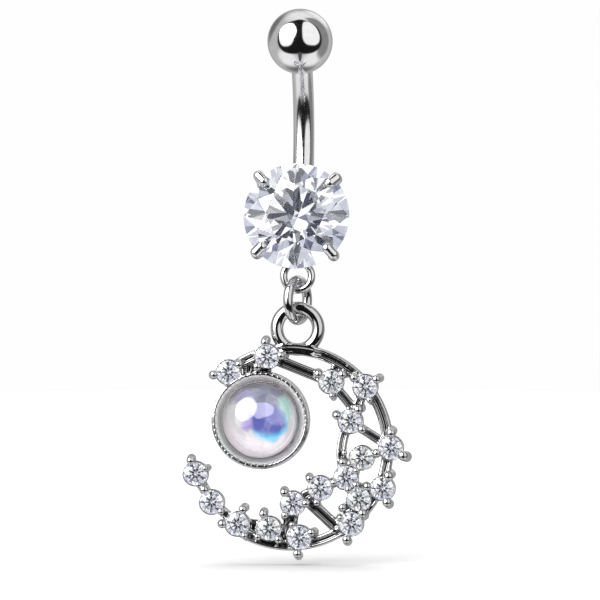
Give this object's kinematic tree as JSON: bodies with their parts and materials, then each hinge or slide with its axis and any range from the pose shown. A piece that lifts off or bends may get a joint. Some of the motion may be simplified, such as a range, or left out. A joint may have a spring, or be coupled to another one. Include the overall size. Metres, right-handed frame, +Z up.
{
  "type": "navel ring with hanging crescent pendant",
  "caption": "Curved navel barbell with a screw ball, a prong-set round stone, and a hanging openwork crescent with small stones and a domed cabochon.",
  "frame": {"origin": "middle of the curved bar's bend, on the bar's centre line, where it sits in the piercing", "axes": "+Z up towards the ball, the stones face -Y, +X to the right as seen from the front"},
  "size_m": [0.0175, 0.0095, 0.0421],
  "materials": {
    "bar_metal": "mirror polish",
    "ball_metal": "mirror polish",
    "link_metal": "mirror polish",
    "cast_metal": "bright plated casting",
    "clear_stone": "faceted",
    "small_stone": "faceted",
    "iridescent_glass": "polished dome over an iridescent coat"
  },
  "bodies": {
    "barbell": {"barbell": "bar_metal", "main_stone": "clear_stone"},
    "ball": {"ball": "ball_metal"},
    "link": {"link": "link_metal"},
    "pendant": {"pendant": "cast_metal", "cabochon": "iridescent_glass", "small_stone_a": "small_stone", "small_stone_b": "small_stone", "small_stone_c": "small_stone", "small_stone_d": "small_stone", "small_stone_e": "small_stone", "small_stone_f": "small_stone", "small_stone_g": "small_stone", "small_stone_h": "small_stone", "small_stone_i": "small_stone", "small_stone_j": "small_stone", "small_stone_k": "small_stone", "small_stone_l": "small_stone", "small_stone_m": "small_stone", "small_stone_n": "small_stone", "small_stone_o": "small_stone", "small_stone_p": "small_stone", "small_stone_q": "small_stone", "small_stone_r": "small_stone"}
  },
  "joints": [
    {"name": "ball_unscrews", "type": "slide", "parent": "barbell", "child": "ball", "axis": [0, -0.6756, 0.7373], "range_m": [0, 0.0035]},
    {"name": "link_swings", "type": "hinge", "parent": "barbell", "child": "link", "pos_m": [0, -0.00592, -0.01196], "axis": [1, 0, 0], "range_deg": [-60, 45]},
    {"name": "pendant_swings", "type": "hinge", "parent": "link", "child": "pendant", "pos_m": [0, -0.00592, -0.01426], "axis": [0, 1, 0], "range_deg": [-35, 35]}
  ]
}
